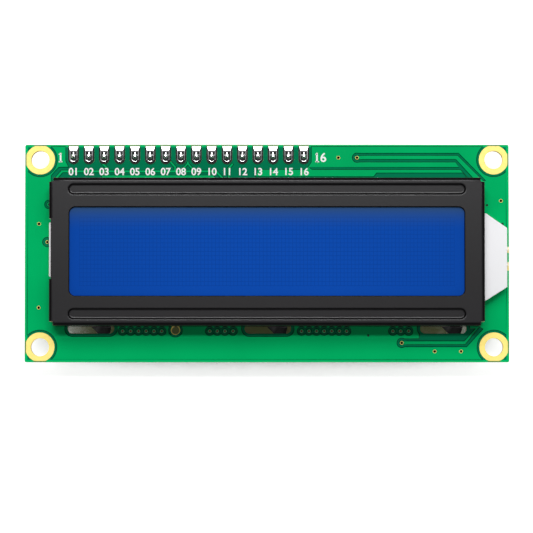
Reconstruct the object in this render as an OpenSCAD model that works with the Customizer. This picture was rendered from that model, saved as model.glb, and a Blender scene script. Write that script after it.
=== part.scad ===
// Character LCD module: 16 by 2 dot-matrix display on a green circuit board.
// Units are millimetres. X runs along the board, +Y points to the pin header,
// +Z points out of the display face. The origin is the centre of the four
// mounting holes on the rear face of the bare board.

/* [Board] */
// Length of the board along X
board_l = 80; // [79:0.5:82]
// Width of the board along Y
board_w = 36; // [36:0.5:38]
// Thickness of the bare laminate
board_t = 1.6; // [1.2:0.2:1.6]
// Distance between the mounting holes along X
hole_dx = 75; // [74.5:0.25:75.5]
// Distance between the mounting holes along Y
hole_dy = 31; // [30.5:0.25:31.5]
// Finished diameter of the plated mounting holes
hole_d = 3; // [2.5:0.1:3.2]

/* [Bezel] */
// Outside length of the folded bezel
bezel_l = 71.2; // [71:0.1:71.4]
// Outside width of the folded bezel
bezel_w = 24.2; // [24:0.1:24.4]
// Thickness of the steel sheet
sheet_t = 0.4; // [0.3:0.05:0.4]
// Length of the viewing window
window_l = 64.5; // [60:0.5:65]
// Width of the viewing window
window_w = 14.5; // [13.8:0.1:15]
// Twist of the fixing tabs behind the board, in degrees
tab_twist = 45; // [0:5:45]

/* [Display] */
// Thickness of each glass plate
glass_t = 1.1; // [0.9:0.1:1.1]
// Thickness of each polarizer film
film_t = 0.2; // [0.15:0.05:0.2]

/* [Header] */
// Number of header pins
pin_count = 16; // [14:1:16]
// Length of each header pin
pin_l = 11.54; // [10:0.5:14]
// Height of the pin tips above the rear face of the board
pin_top = 3; // [2.5:0.1:3.2]

/* [Hidden] */

cu = 0.05;                 // copper with its solder mask, seen as one skin
z0 = board_t + cu;         // the level that everything on the front stands on
face_z = board_t + 7.2;    // front of the bezel
sheet_z = face_z - sheet_t;
bend_r = 0.5;              // outer radius of the folds
press_d = 0.3;             // depth of the two pressed channels
front_top = sheet_z - press_d;
front_bot = front_top - glass_t;
seal_t = 0.06;
rear_top = front_bot - seal_t;
rear_bot = rear_top - glass_t;
film_bot = rear_bot - film_t;
stack_z = film_bot - 0.2;  // top of the light guide and of its housing
pitch = 2.54;
pin_w = 0.64;
pin_x0 = -32;              // axis of the first pin
pin_y = 16;
slot_l = 7.7;
low_slot = [-12.45, 1.6];  // lower slots: centre line and width
top_slot = [11.9, 0.8];    // upper slots, narrower and under the bezel's edge
slot_x = [-29.05, 0.15, 29.15];
tab_w = 6.5;
ring_r = 2.45;
led_y = -0.58;             // centre line of the backlight LED
hole_xy = [for (x = [-1, 1], y = [-1, 1]) [x * hole_dx / 2, y * hole_dy / 2]];
pin_x = [for (i = [0 : pin_count - 1]) pin_x0 + pitch * i];

// Gold-ringed vias, and vias that the solder mask covers.
open_via = [
  [-37.7, 4.87], [-37.7, -8.98], [-36.3, 1.88], [11.82, 15.85],
  [14.91, 15.85], [38.7, 8.7], [22.26, -14.8], [27.7, -16.2], [32.05, -16.2]
];
row_via = [
  -23.83, -22.5, -21.2, -19.95, -18.66, -17.37, -9.45, -8.2, -6.93, -5.6,
  5.72, 6.94, 8.2, 9.45, 10.7, 11.95, 13.15, 20.8, 22.1, 23.4
];
row_via_y = -12.85;
lone_via = [[-36.05, 8.1]];
locating = [-15.1, -12.7];

module rounded(l, w, r) {
  square([l - 2 * r, w], center = true);
  square([l, w - 2 * r], center = true);
  for (x = [-1, 1], y = [-1, 1])
    translate([x * (l / 2 - r), y * (w / 2 - r)])
      circle(r, $fn = 24);
}

module stadium(l, w, n = 24) {
  square([l - w, w], center = true);
  for (x = [-1, 1])
    translate([x * (l - w) / 2, 0])
      circle(w / 2, $fn = n);
}

module at_slots(grow = 0) {
  for (x = slot_x) {
    translate([x, low_slot[0]])
      stadium(slot_l + 2 * grow, low_slot[1] + 2 * grow);
    translate([x, top_slot[0]])
      stadium(slot_l + grow, top_slot[1] + grow);
  }
}

module slab(z, h) {
  translate([0, 0, z])
    linear_extrude(h)
      children();
}

module box(x, y, z) {
  translate([x[0], y[0], z[0]])
    cube([x[1] - x[0], y[1] - y[0], z[1] - z[0]]);
}

// ---- circuit board -------------------------------------------------------

module circuit_board() {
  color([0, 0.45, 0.27])
    slab(0, board_t)
      difference() {
        rounded(board_l, board_w, 0.3);
        for (p = hole_xy)
          translate(p)
            circle(hole_d / 2 + cu, $fn = 48);
        for (x = pin_x)
          translate([x, pin_y])
            circle(0.5, $fn = 16);
        for (p = open_via)
          translate(p)
            circle(0.16, $fn = 13);
        translate(locating)
          circle(0.78, $fn = 24);
        at_slots();
      }
}

// Outline of the copper before anything is cleared from it.
module pour_outline() {
  translate([0, 0.05])
    rounded(board_l - 0.9, board_w - 0.8, 0.3);
}

module hole_clearance() {
  for (p = hole_xy)
    translate(p)
      circle(2.87, $fn = 48);
}

// Bare laminate around the pin row, down to the long signal traces.
module header_field() {
  x1 = pin_x[pin_count - 1];
  polygon([
    [-33.35, 17.9], [-33.35, 15.3], [-32.9, 14.34], [-34.45, 14.31],
    [-35.19, 13.57], [-35.75, 12.9], [-35.75, 11.9], [x1 - 8.2, 11.9],
    [x1 - 7.6, 13.84], [x1 + 0.4, 13.84], [x1 + 1.3, 15.1], [x1 + 1.3, 17.9]
  ]);
}

// Two wide gaps that run from a via along the board, then slope at 45 degrees.
module lanes_top_right() {
  translate([14.91, 15.85])
    circle(0.84, $fn = 32);
  polygon([[14.91, 16.19], [14.91, 16.64], [31.75, 16.64], [36.3, 12.0],
    [35.75, 12.0], [31.55, 16.19]]);
  polygon([[14.91, 15.08], [14.91, 15.6], [31.3, 15.6], [34.6, 12.0],
    [33.6, 12.0], [32.0, 13.84], [7.4, 13.84], [6.96, 14.29], [31.75, 14.29],
    [31.2, 15.08]]);
  polygon([[18.13, 13.37], [32.41, 13.37], [33.5, 12.0], [-2.2, 12.0],
    [-2.0, 12.76], [17.65, 12.76]]);
}

module lanes_bottom_right() {
  translate([22.26, -14.8])
    circle(0.85, $fn = 32);
  polygon([[22.26, -14.07], [25.1, -14.07], [25.1, -12.4], [34.5, -12.4],
    [32.62, -14.53], [22.26, -14.53]]);
  polygon([[22.26, -15.03], [32.7, -15.03], [35.05, -12.1], [35.75, -12.5],
    [33.0, -15.5], [22.26, -15.5]]);
}

// A trace with square ends from one point to the next.
module trace(a, b, w) {
  d = b - a;
  translate(a)
    rotate(atan2(d[1], d[0]))
      translate([-w / 2, -w / 2])
        square([norm(d) + w, w]);
}

module run_of(points, w) {
  for (i = [1 : len(points) - 1])
    trace(points[i - 1], points[i], w);
}

// Signal traces that cross the bare field in front of the header.
module header_traces() {
  run_of([[-35.2, 12.1], [-33.9, 13.58], [-8.41, 13.58], [-7.0, 12.1]], 0.32);
  run_of([[-27.1, 12.74], [-9.0, 12.74], [-8.4, 12.1]], 0.36);
  run_of([[-13.1, 15.1], [-13.1, 14.9], [-13.8, 14.1], [-13.8, 13.6]], 0.26);
  run_of([[-13.1, 14.9], [-12.4, 14.1], [-12.4, 13.6]], 0.26);
  run_of([[-15.9, 15.1], [-15.2, 14.3], [-15.2, 13.6]], 0.26);
  run_of([[-5.75, 14.75], [-6.3, 14.1], [-6.3, 12.1]], 0.26);
  run_of([[-27.1, 14.75], [-26.4, 14.1], [-26.4, 13.6]], 0.26);
}

module contact_windows() {
  for (s = [-1, 1])
    translate([0, s * 10.3])
      square([67, 2.2], center = true);
}

module top_copper_layer() {
  color([0, 0.71, 0.4])
    slab(board_t, cu) {
      difference() {
        pour_outline();
        hole_clearance();
        header_field();
        lanes_top_right();
        lanes_bottom_right();
        at_slots(0.55);
        contact_windows();
        for (x = row_via)
          translate([x, row_via_y])
            circle(0.78, $fn = 24);
        for (p = lone_via)
          translate(p)
            circle(0.78, $fn = 24);
        translate(locating)
          circle(1.2, $fn = 32);
        translate([-36.3, 1.88])
          circle(0.85, $fn = 24);
        for (p = open_via)
          translate(p)
            circle(0.3, $fn = 16);
        translate([39.9, led_y - 0.3])
          square([1.4, 4.8], center = true);
      }
      // Copper that stands alone inside the cleared areas.
      difference() {
        header_traces();
        for (x = pin_x)
          translate([x, pin_y])
            pad_shape(0.9);
      }
      for (x = row_via)
        translate([x, row_via_y])
          circle(0.36, $fn = 13);
      for (p = lone_via)
        translate(p)
          circle(0.36, $fn = 13);
      difference() {
        trace([14.91, 15.85], [15.9, 15.89], 0.58);
        translate([14.91, 15.85])
          circle(0.3, $fn = 16);
      }
      difference() {
        trace([22.26, -14.8], [23.3, -14.78], 0.5);
        translate([22.26, -14.8])
          circle(0.3, $fn = 16);
      }
    }
}

// Where the chip parts are soldered on the rear: centre and long axis.
chip_r = [[27, 9], [27, 6.5], [27, 4], [27, 1.5], [27, -1], [-27, 7], [-27, 4.5]];
chip_c = [[27, -4.5], [-27, -3], [0, -6.5]];
glob_a = [-13.5, 1];
glob_b = [13.5, 1];

module back_copper_layer() {
  color([0, 0.62, 0.35])
    slab(-cu, cu)
      difference() {
        pour_outline();
        hole_clearance();
        translate([(pin_x[0] + pin_x[pin_count - 1]) / 2, 16.3])
          square([pin_count * pitch + 0.6, 3.2], center = true);
        at_slots(0.9);
        for (p = [glob_a, glob_b])
          translate(p)
            circle(6.9, $fn = 64);
        for (p = concat(chip_r, chip_c))
          translate(p)
            square([3.8, 2], center = true);
        for (p = open_via)
          translate(p)
            circle(0.3, $fn = 16);
        translate(locating)
          circle(1.2, $fn = 32);
      }
}

module flat_ring(r) {
  intersection() {
    circle(r, $fn = 64);
    square([4.54, 4.54], center = true);
  }
}

module mounting_hole_plating() {
  color([0.95, 0.8, 0.4])
    for (p = hole_xy)
      translate([p[0], p[1], 0])
        difference() {
          union() {
            slab(board_t, cu)
              flat_ring(ring_r);
            slab(-cu, cu)
              flat_ring(ring_r);
            cylinder(h = board_t, r = hole_d / 2 + cu, $fn = 48);
          }
          translate([0, 0, -1])
            cylinder(h = board_t + 2, r = hole_d / 2, $fn = 48);
        }
}

module via_rings() {
  color([0.95, 0.8, 0.4])
    slab(board_t, cu)
      for (p = open_via)
        translate(p)
          difference() {
            circle(0.3, $fn = 16);
            circle(0.16, $fn = 13);
          }
}

module locating_hole_lining() {
  color([0.6, 0.55, 0.45])
    translate([locating[0], locating[1], 0])
      difference() {
        cylinder(h = z0, r = 0.78, $fn = 24);
        translate([0, 0, -1])
          cylinder(h = board_t + 2, r = 0.66, $fn = 24);
      }
}

// ---- pin header ----------------------------------------------------------

module pad_shape(r) {
  translate([0, -0.35])
    circle(r, $fn = 24);
  translate([-r, -0.35])
    square([2 * r, 2.07]);
}

module header_pads() {
  color([0.85, 0.75, 0.45])
    for (x = pin_x)
      translate([x, pin_y, 0]) {
        slab(board_t, cu)
          difference() {
            pad_shape(0.9);
            circle(0.5, $fn = 16);
          }
        slab(-cu, cu)
          difference() {
            circle(0.85, $fn = 20);
            circle(0.5, $fn = 16);
          }
      }
}

// Each joint wets the whole pad and climbs the pin.
module header_solder_joints() {
  color([0.75, 0.75, 0.76])
    for (x = pin_x)
      translate([x, pin_y, z0])
        difference() {
          union() {
            linear_extrude(0.16)
              pad_shape(0.84);
            translate([-0.5, 0, 0])
              cube([1, 1.5, 0.4]);
            cylinder(h = 0.95, r1 = 0.83, r2 = 0.47, $fn = 24);
          }
          translate([-pin_w / 2, -pin_w / 2, -1])
            cube([pin_w, pin_w, 4]);
        }
}

// Side view of one pin with both ends pointed, extruded through the pin.
module pin_side() {
  h = pin_w / 2;
  tip = 0.3;
  e = 0.17;
  rotate([90, 0, 0])
    linear_extrude(pin_w, center = true)
      polygon([[-h, tip], [-e, 0], [e, 0], [h, tip], [h, pin_l - tip],
        [e, pin_l], [-e, pin_l], [-h, pin_l - tip]]);
}

module header_pins() {
  color([0.88, 0.75, 0.42])
    for (x = pin_x)
      translate([x, pin_y, pin_top - pin_l])
        intersection() {
          pin_side();
          rotate(90)
            pin_side();
        }
}

module header_insulator() {
  h = pitch / 2;
  c = 0.45;
  color([0.08, 0.08, 0.08])
    slab(-cu - pitch, pitch)
      difference() {
        for (x = pin_x)
          translate([x, pin_y])
            polygon([[-h, c - h], [c - h, -h], [h - c, -h], [h, c - h],
              [h, h - c], [h - c, h], [c - h, h], [-h, h - c]]);
        for (x = pin_x)
          translate([x, pin_y])
            square(pin_w, center = true);
      }
}

// ---- bezel ---------------------------------------------------------------

// Section of a folded wall: x is the distance inwards from the outer face.
module wall_section() {
  ri = bend_r - sheet_t;
  translate([0, z0])
    square([sheet_t, face_z - bend_r - z0]);
  intersection() {
    translate([bend_r, face_z - bend_r])
      difference() {
        circle(bend_r, $fn = 48);
        circle(ri, $fn = 24);
      }
    translate([0, face_z - bend_r])
      square(bend_r);
  }
}

module wall(length, offset_out) {
  translate([-length / 2, -offset_out, 0])
    rotate([90, 0, 90])
      linear_extrude(length)
        wall_section();
}

// A tab goes through its slot and is twisted step by step behind the board.
module tab() {
  steps = 6;
  h = 1.8 / steps;
  box([-tab_w / 2, tab_w / 2], [0, sheet_t], [-0.1, z0]);
  for (i = [1 : steps])
    translate([0, sheet_t / 2, -0.1 - i * h])
      rotate(-tab_twist * i / steps)
        translate([-tab_w / 2, -sheet_t / 2, 0])
          cube([tab_w, sheet_t, h]);
}

module metal_bezel() {
  ch_l = 65;
  ch_w = 1.6;
  ch_y = 10.2;
  color([0.13, 0.13, 0.14])
    difference() {
      union() {
        slab(sheet_z, sheet_t)
          square([bezel_l - 2 * bend_r, bezel_w - 2 * bend_r], center = true);
        for (a = [0, 180])
          rotate(a)
            wall(bezel_l - 2 * bend_r - 0.2, bezel_w / 2);
        for (a = [90, 270])
          rotate(a)
            wall(bezel_w - 2 * bend_r - 0.2, bezel_l / 2);
        for (s = [-1, 1])
          translate([0, s * ch_y])
            slab(sheet_z - press_d, press_d)
              stadium(ch_l + 0.6, ch_w + 0.6);
        for (x = slot_x)
          translate([x, -bezel_w / 2, 0])
            tab();
        for (x = slot_x)
          translate([x, bezel_w / 2, 0])
            mirror([0, 1, 0])
              tab();
      }
      slab(sheet_z - 1, 3)
        rounded(window_l, window_w, 1);
      for (s = [-1, 1])
        translate([0, s * ch_y])
          slab(face_z - press_d, 1)
            stadium(ch_l, ch_w);
      // Left wall: open for the tongue of the backlight.
      translate([0, 0, z0 - 0.5])
        linear_extrude(10)
          polygon([[-37, 5.4], [-35.7, 5.4], [-35.4, 5.1], [-35.4, -4.2],
            [-35.7, -4.5], [-37, -4.5]]);
      box([-36, -34.8], [-4.2, 5.1], [z0 - 0.5, stack_z + 0.1]);
      // Right wall: open for the end of the backlight.
      box([34.9, 36], [-8.1, 6.6], [z0 - 0.5, stack_z + 0.15]);
    }
}

// ---- liquid crystal cell -------------------------------------------------

module front_polarizer() {
  color([0.03, 0.27, 0.65])
    slab(front_top, film_t)
      square([67.4, 17.2], center = true);
}

module front_glass() {
  color([0.7, 0.8, 0.85, 0.4])
    slab(front_bot, glass_t)
      square([69.6, 22.8], center = true);
}

module cell_seal() {
  color([0.75, 0.75, 0.7])
    slab(rear_top, seal_t) {
      difference() {
        square([68.6, 17.2], center = true);
        square([67.2, 15.8], center = true);
      }
      translate([34.3, -1.5])
        square([0.6, 4]);
    }
}

module liquid_crystal_layer() {
  color([0.1, 0.25, 0.6])
    slab(rear_top, seal_t)
      square([67.2, 15.8], center = true);
}

module rear_glass() {
  color([0.7, 0.8, 0.85, 0.4])
    slab(rear_bot, glass_t)
      square([69.6, 18], center = true);
}

module rear_polarizer() {
  color([0.35, 0.4, 0.5])
    slab(film_bot, film_t)
      square([67.4, 17.2], center = true);
}

// ---- backlight -----------------------------------------------------------

module diffuser_film() {
  color([0.96, 0.96, 0.96])
    slab(stack_z, film_bot - stack_z)
      square([68, 17.4], center = true);
}

module light_guide() {
  color([0.85, 0.92, 0.95, 0.5])
    box([-33.6, 32.4], [-7.6, 7.6], [z0 + 0.6, stack_z]);
}

module lead_path(grow) {
  for (s = [-1, 1])
    translate([0, led_y + s * pitch / 2, z0 + 1.4])
      box([33.4, 39.8], [-0.3 - grow, 0.3 + grow], [-grow, 0.3 + grow]);
}

module backlight_housing() {
  color([0.95, 0.95, 0.96])
    difference() {
      union() {
        box([-34.9, 34.9], [-8.9, 8.9], [z0, stack_z]);
        box([-35.78, -34.8], [-4, 4.9], [z0, stack_z]);
        slab(z0, stack_z - z0)
          polygon([[34.8, -7.9], [36, -7.9], [39.45, -5.7], [39.45, 4],
            [36, 6.4], [34.8, 6.4]]);
      }
      box([-33.6, 32.4], [-7.6, 7.6], [z0 + 0.6, stack_z + 1]);
      box([32.3, 34.2], [led_y - 2.6, led_y + 2.6], [z0 + 0.6, z0 + 2.8]);
      lead_path(0);
    }
}

module backlight_led() {
  color([0.95, 0.9, 0.5])
    difference() {
      box([32.4, 34.2], [led_y - 2.6, led_y + 2.6], [z0 + 0.6, z0 + 2.8]);
      lead_path(0);
    }
}

module lead_foot() {
  box([39.5, 39.8], [-0.3, 0.3], [z0, z0 + 1.5]);
}

module backlight_leads() {
  color([0.8, 0.8, 0.8]) {
    lead_path(0);
    for (s = [-1, 1])
      translate([0, led_y + s * pitch / 2, 0])
        lead_foot();
  }
}

module backlight_pads() {
  color([0.95, 0.8, 0.4]) {
    box([39.3, 39.98], [0.1, 1.05], [board_t, z0]);
    box([39.3, 39.98], [-2.85, -1.45], [board_t, z0]);
  }
}

module backlight_solder_joints() {
  color([0.82, 0.82, 0.83])
    for (s = [-1, 1])
      translate([0, led_y + s * pitch / 2, 0])
        difference() {
          rotate([90, 0, 0])
            linear_extrude(0.9, center = true)
              polygon([[39.46, z0], [39.98, z0], [39.98, z0 + 0.12],
                [39.86, z0 + 0.55], [39.46, z0 + 0.55]]);
          lead_foot();
        }
}

// ---- elastomer connectors ------------------------------------------------

module zebra(s) {
  box([-33, 33], s > 0 ? [9.3, 11.3] : [-11.3, -9.3], [z0, front_bot]);
}

module zebra_strip_upper() {
  color([0.75, 0.6, 0.6])
    zebra(1);
}

module zebra_strip_lower() {
  color([0.75, 0.6, 0.6])
    zebra(-1);
}

module elastomer_contact_pads() {
  color([0.95, 0.8, 0.4])
    for (s = [-1, 1], i = [-16 : 16])
      translate([i * 2, s * 10.3, board_t + cu / 2])
        cube([1.2, 1.9, cu], center = true);
}

// ---- parts on the rear ---------------------------------------------------

// A dome of potting compound: part of a ball cut off by the board.
module dome(c, r, h) {
  ball = (r * r + h * h) / (2 * h);
  translate([c[0], c[1], 0])
    intersection() {
      translate([0, 0, ball - h])
        sphere(ball, $fn = 96);
      translate([0, 0, -h - 1])
        cylinder(h = h + 1, r = r + 1, $fn = 48);
    }
}

module controller_chip_cover() {
  color([0.06, 0.06, 0.06])
    dome(glob_a, 6.4, 1.5);
}

module driver_chip_cover() {
  color([0.06, 0.06, 0.06])
    dome(glob_b, 5.8, 1.4);
}

module chip_bodies(points, w, h) {
  for (p = points)
    translate([p[0], p[1], -h / 2])
      cube([1.3, w, h], center = true);
}

module chip_resistors() {
  color([0.12, 0.12, 0.13])
    chip_bodies(chip_r, 1.2, 0.55);
}

module chip_capacitors() {
  color([0.6, 0.48, 0.35])
    chip_bodies(chip_c, 1.3, 0.9);
}

module chip_part_terminals() {
  color([0.8, 0.8, 0.81]) {
    for (p = chip_r, s = [-1, 1])
      translate([p[0] + s * 0.95, p[1], -0.3])
        cube([0.6, 1.3, 0.6], center = true);
    for (p = chip_c, s = [-1, 1])
      translate([p[0] + s * 0.95, p[1], -0.475])
        cube([0.6, 1.4, 0.95], center = true);
  }
}

circuit_board();
top_copper_layer();
back_copper_layer();
mounting_hole_plating();
via_rings();
locating_hole_lining();
header_pads();
header_solder_joints();
header_pins();
header_insulator();
metal_bezel();
front_polarizer();
front_glass();
cell_seal();
liquid_crystal_layer();
rear_glass();
rear_polarizer();
diffuser_film();
light_guide();
backlight_housing();
backlight_led();
backlight_leads();
backlight_pads();
backlight_solder_joints();
zebra_strip_upper();
zebra_strip_lower();
elastomer_contact_pads();
controller_chip_cover();
driver_chip_cover();
chip_resistors();
chip_capacitors();
chip_part_terminals();
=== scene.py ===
"""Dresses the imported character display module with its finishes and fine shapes."""

import math

import bmesh
import bpy
from mathutils import Matrix, Vector


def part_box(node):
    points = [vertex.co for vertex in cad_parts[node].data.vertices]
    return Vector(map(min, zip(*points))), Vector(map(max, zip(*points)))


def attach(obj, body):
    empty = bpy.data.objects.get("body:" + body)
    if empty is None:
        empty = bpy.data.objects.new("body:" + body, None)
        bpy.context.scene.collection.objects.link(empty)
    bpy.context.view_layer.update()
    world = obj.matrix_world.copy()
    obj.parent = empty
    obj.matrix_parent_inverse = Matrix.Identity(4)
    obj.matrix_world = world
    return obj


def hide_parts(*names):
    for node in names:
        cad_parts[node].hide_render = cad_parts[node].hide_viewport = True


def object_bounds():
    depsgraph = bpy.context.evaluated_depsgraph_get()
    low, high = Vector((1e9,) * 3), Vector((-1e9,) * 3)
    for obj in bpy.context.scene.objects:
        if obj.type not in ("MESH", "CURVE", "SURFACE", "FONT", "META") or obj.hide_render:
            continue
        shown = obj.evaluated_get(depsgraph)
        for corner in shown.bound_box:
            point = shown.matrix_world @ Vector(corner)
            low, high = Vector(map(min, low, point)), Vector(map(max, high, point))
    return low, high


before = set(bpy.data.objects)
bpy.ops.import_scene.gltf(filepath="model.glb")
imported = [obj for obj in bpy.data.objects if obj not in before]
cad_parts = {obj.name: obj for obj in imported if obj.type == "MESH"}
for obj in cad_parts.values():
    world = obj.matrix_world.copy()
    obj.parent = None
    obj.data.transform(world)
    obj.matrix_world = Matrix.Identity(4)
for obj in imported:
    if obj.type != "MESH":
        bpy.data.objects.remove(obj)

bl_info = {
    "name": "Character Display Module",
    "version": (1, 0, 0),
    "blender": (4, 5, 0),
    "location": "3D View > Sidebar > Display Module",
    "description": "Builds the visible pieces of a two-row character display module",
    "category": "Object",
}

CAD_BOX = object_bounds()
MM = 0.001
BODY = "root"

# Heights above the rear face of the board, as the solids have them.
BOARD_T = 1.6 * MM
SKIN_T = 0.05 * MM
STAND_Z = BOARD_T + SKIN_T
FACE_Z = BOARD_T + 7.2 * MM
FOLD_R = 0.6 * MM
HOUSING_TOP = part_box("backlight_housing")[1].z

# The folded sheet.
BEZEL_HALF = (35.6 * MM, 12.1 * MM)
CORNER_GAP = 0.1 * MM
TAB_X = (-29.05 * MM, 0.15 * MM, 29.15 * MM)
TAB_W = 6.5 * MM
CHANNEL_Y = 10.2 * MM
CHANNEL_SIZE = (65.3, 2.15)            # length and width at the face, in millimetres
LEFT_NOTCH = (-4.5 * MM, 5.4 * MM)
RIGHT_NOTCH = (-8.1 * MM, 6.6 * MM)
TONGUE_REACH = 0.3 * MM                # how far the flat runs on over the left notch
NOTCH_CLEARANCE = 0.15 * MM            # between the right notch and the backlight below it
SLOT_DEPTH = -0.1 * MM                 # where a tab leaves its slot and begins to twist
TAB_FALL = 1.8 * MM                    # height of the twisted part

# The display's field of dots, and where its faint lines fade out.
DOT_COLUMNS, DOT_ROWS = 102, 16
DOT_FIELD_END_X = (30.6 * MM, 30.75 * MM)
DOT_FIELD_END_Y = (5.6 * MM, 5.75 * MM)

# The rubber connectors: their middle line, their layers, and where the core ends.
STRIP_Y = 10.3 * MM
LAYER_PITCH = 0.18 * MM
CORE_HALF = (0.45 * MM, 0.5 * MM)

# Pins, vias and other marks on the board.
# Where the painted highlight along the board's outer rim begins and ends.
BRIGHT_RIM_X = (39.52 * MM, 39.6 * MM)
BRIGHT_RIM_Y = (17.55 * MM, 17.63 * MM)
PIN_X = [(-32 + 2.54 * i) * MM for i in range(16)]
PIN_Y = 16 * MM
HOLE_R, LINING_R, RING_R = 1.5 * MM, 1.55 * MM, 2.43 * MM
RING_FLAT = 2.27 * MM                  # from the hole's middle to the ring's flat sides
HOLES = [(sx * 37.5 * MM, sy * 15.5 * MM) for sx in (-1, 1) for sy in (-1, 1)]
RING_TIE, PAD_TIE = (2.1 * MM, 0.2 * MM), (1.75 * MM, 0.22 * MM)
RING_TIE_AT, PAD_TIE_Y, TIE_T = (39.885 * MM, 17.885 * MM), 17.87 * MM, 0.03 * MM
COVERED_VIAS = [
    (x * MM, -12.85 * MM) for x in (
        -23.83, -22.5, -21.2, -19.95, -18.66, -17.37, -9.45, -8.2, -6.93, -5.6,
        5.72, 6.94, 8.2, 9.45, 10.7, 11.95, 13.15, 20.8, 22.1, 23.4)
]
SUNK_VIAS = [(-36.05 * MM, 8.1 * MM), (36.4 * MM, 7.98 * MM), (16.73 * MM, -13.58 * MM),
             (38.96 * MM, 4.9 * MM)]
OPEN_VIAS = [(x * MM, y * MM) for x, y in (
    (-37.7, 4.87), (-37.7, -8.98), (-36.3, 1.88), (11.82, 15.85), (14.91, 15.85),
    (38.7, 8.7), (22.26, -14.8), (27.7, -16.2), (32.05, -16.2))]

# Outlines of the vias as (radius, height above the mask), in millimetres: the dimple of a
# covered via and the pale rim round it, a via that the mask has sunk into until only a dark
# dot shows, and the plated rim of an open via with a near-black disc inside it that paints
# the shade of its hole.
DIMPLE = [(0, 0), (0.17, 0), (0.17, 0.012), (0, 0.004)]
DIMPLE_RIM = [(0.17, 0), (0.17, 0.014), (0.22, 0.022), (0.27, 0.012), (0.28, 0), (0.17, 0)]
SUNK_DIMPLE = [(0, 0), (0.2, 0), (0.19, 0.01), (0, 0.003)]
VIA_RIM = [(0.22, 0), (0.22, 0.012), (0.25, 0.03), (0.28, 0.02), (0.3, 0), (0.22, 0)]
VIA_SHADE_DISC = [(0, -0.02), (0.22, -0.02), (0.22, 0.006), (0, 0.002)]

# The printing. A wider stroke offset than this tears the fill of the 6 and the 9.
NUMBERS_Y, END_NUMBERS_Y = 13.55 * MM, 15.9 * MM
END_NUMBERS = (("1", -34.15 * MM), ("16", 8.8 * MM))
END_ONES_X = (-34.15 * MM, 8.33 * MM)
# The foot and the flag of each 1 of the end numbers: shift, rise and length.
ONE_FOOT, ONE_FLAG = (0, -0.72 * MM, 0.62 * MM), (-0.15 * MM, 0.52 * MM, 0.3 * MM)
ONE_STROKE = 0.16 * MM
INK_T, INK_HALF, INK_BOLD = 0.016 * MM, 0.008 * MM, 0.035 * MM
FONT_SCALE = 1.38                      # size of the font for each unit of figure height
END_SCALE = 1.27                       # how much larger the end numbers are

# The backlight's two joints: half axes and middles.
LEAD_JOINT = (0.22 * MM, 0.26 * MM, 0.35 * MM)
LEAD_X, LEAD_Y = 39.72 * MM, (0.69 * MM, -1.85 * MM)

# Middle, radius and height of each dome on the rear.
CHIP_COVERS = {
    "controller_chip_cover": (-13.5 * MM, 1 * MM, 6.4 * MM, 1.5 * MM),
    "driver_chip_cover": (13.5 * MM, 1 * MM, 5.8 * MM, 1.4 * MM),
}


# ---- settings ------------------------------------------------------------

def colour(name, description, default):
    return bpy.props.FloatVectorProperty(
        name=name, description=description, subtype="COLOR", size=3,
        min=0, max=1, default=default)


def length(name, description, default):
    return bpy.props.FloatProperty(
        name=name, description=description, subtype="DISTANCE", unit="LENGTH",
        min=0, default=default, precision=5)


class DisplayModuleSizes(bpy.types.PropertyGroup):
    """Sizes of the fine shapes that the solids leave plain."""
    sheet: length("Sheet Thickness", "Thickness of the folded steel", 0.4 * MM)
    window_length: length("Window Length", "Length of the viewing window", 64.5 * MM)
    window_width: length("Window Width", "Width of the viewing window", 14.5 * MM)
    window_radius: length("Window Radius", "Corner radius of the window", 1.0 * MM)
    press: length("Channel Depth", "Depth of the pressed channels", 0.3 * MM)
    twist: bpy.props.FloatProperty(
        name="Tab Twist", description="Turn of each fixing tab behind the board",
        subtype="ANGLE", unit="ROTATION", default=math.radians(45))
    number_height: length("Number Height", "Height of the printed pin numbers", 1.2 * MM)
    dot_pitch_x: length("Dot Pitch X", "Pitch of the display dots along the rows", 0.6 * MM)
    dot_pitch_y: length("Dot Pitch Y", "Pitch of the display dots across the rows", 0.7 * MM)
    mask_slope: length("Mask Slope", "Width of the solder mask's slope at a copper edge", 0.13 * MM)


class DisplayModuleColours(bpy.types.PropertyGroup):
    """Colours of the finishes."""
    mask: colour("Mask on Copper", "Solder mask where copper lies below", (0.0, 0.45, 0.13))
    mask_bare: colour("Mask on Laminate", "Solder mask with no copper below", (0.0, 0.2, 0.085))
    # Painted shade: this dark colour goes on the mask's slopes at copper edges, where the step's
    # shadow falls.
    edge_shade: colour("Mask at Copper Edge", "Thin mask on the copper's edge", (0.0, 0.035, 0.015))
    gold: colour("Gold", "Plated copper", (1.0, 0.8, 0.22))
    solder: colour("Solder", "Solder and tinned metal", (0.86, 0.86, 0.87))
    paint: colour("Bezel Paint", "Black finish of the folded sheet", (0.0195, 0.0187, 0.0202))
    film: colour("Display Film", "Blue front polarizer", (0.004, 0.069, 0.42))
    white: colour("Backlight White", "White plastic of the backlight", (0.93, 0.93, 0.95))
    ink: colour("Ink", "White printing on the board", (0.98, 1.0, 0.98))
    resin: colour("Potting Resin", "Black resin over the chips", (0.012, 0.012, 0.013))


# ---- finishes ------------------------------------------------------------

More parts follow.
